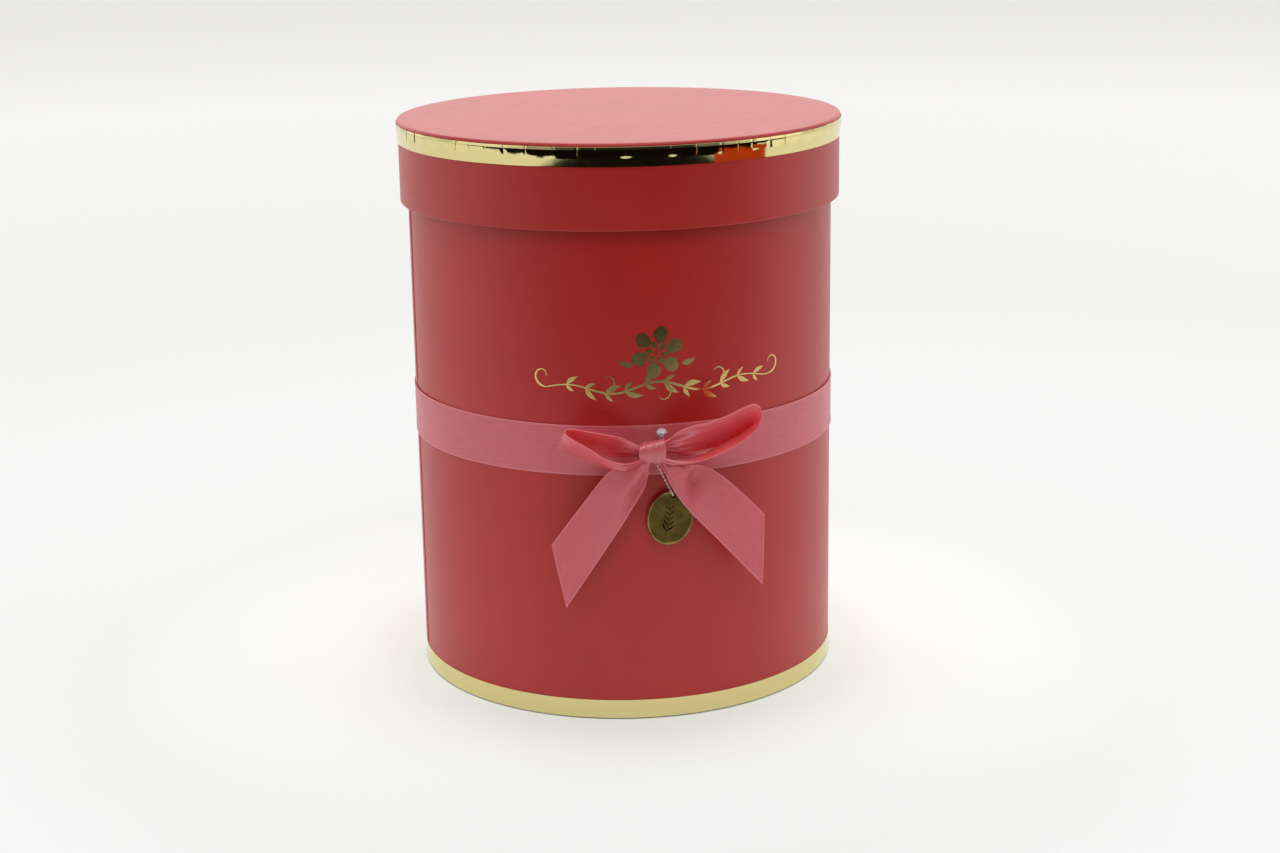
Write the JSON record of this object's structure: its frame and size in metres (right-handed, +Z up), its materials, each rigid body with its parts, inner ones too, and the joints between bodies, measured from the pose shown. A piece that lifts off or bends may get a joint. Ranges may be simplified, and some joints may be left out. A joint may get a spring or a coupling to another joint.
{
  "type": "flower gift box",
  "caption": "Round two-piece rigid flower box with a lift-off lid, foil edge strips, a ribbon band with a bow, a crystal-headed pin and an oval medal on a ball chain.",
  "frame": {"origin": "centre of the box's flat underside, on the box's axis", "axes": "+Z up along the box's axis, -Y towards the bow, +X to the right of someone who faces the bow"},
  "size_m": [0.1828, 0.198, 0.232],
  "materials": {
    "red_paper": "satin",
    "lining_paper": "matte",
    "greyboard": "matte",
    "gold_foil": "polished",
    "pink_satin": "satin",
    "hot_glue": "satin",
    "plated_steel": "polished",
    "crystal": "polished",
    "aged_brass": "satin"
  },
  "bodies": {
    "box": {"body_wrap": "red_paper", "body_tube": "greyboard", "body_liner": "lining_paper", "base_board": "greyboard", "base_cover": "lining_paper", "floor_liner": "lining_paper", "body_trim": "gold_foil", "ribbon_band": "pink_satin", "bow_left_loop": "pink_satin", "bow_right_loop": "pink_satin", "bow_left_tail": "pink_satin", "bow_right_tail": "pink_satin", "bow_knot": "pink_satin", "bow_glue_pad": "hot_glue"},
    "lid": {"lid_rim_board": "greyboard", "lid_top_board": "greyboard", "lid_rim_wrap": "red_paper", "lid_rim_liner": "lining_paper", "lid_ceiling_liner": "lining_paper", "lid_top_cover": "red_paper", "lid_trim": "gold_foil"},
    "bow_pin": {"pin_shaft": "plated_steel", "pin_cup": "plated_steel", "pin_crystal": "crystal"},
    "chain": {"ball_chain": "plated_steel", "jump_ring": "plated_steel"},
    "charm": {"medal": "aged_brass"}
  },
  "joints": [
    {"name": "lid_lift", "type": "slide", "parent": "box", "child": "lid", "axis": [0, 0, 1], "range_m": [0, 0.12]},
    {"name": "pin_pull", "type": "slide", "parent": "box", "child": "bow_pin", "axis": [0, 0, 1], "range_m": [0, 0.03]},
    {"name": "chain_swing", "type": "hinge", "parent": "box", "child": "chain", "pos_m": [0.0029, -0.0898, 0.1055], "axis": [0, 1, 0], "range_deg": [-12, 45]},
    {"name": "medal_swing", "type": "hinge", "parent": "chain", "child": "charm", "pos_m": [0.0087, -0.0898, 0.0934], "axis": [0, 1, 0], "range_deg": [-60, 5]}
  ]
}
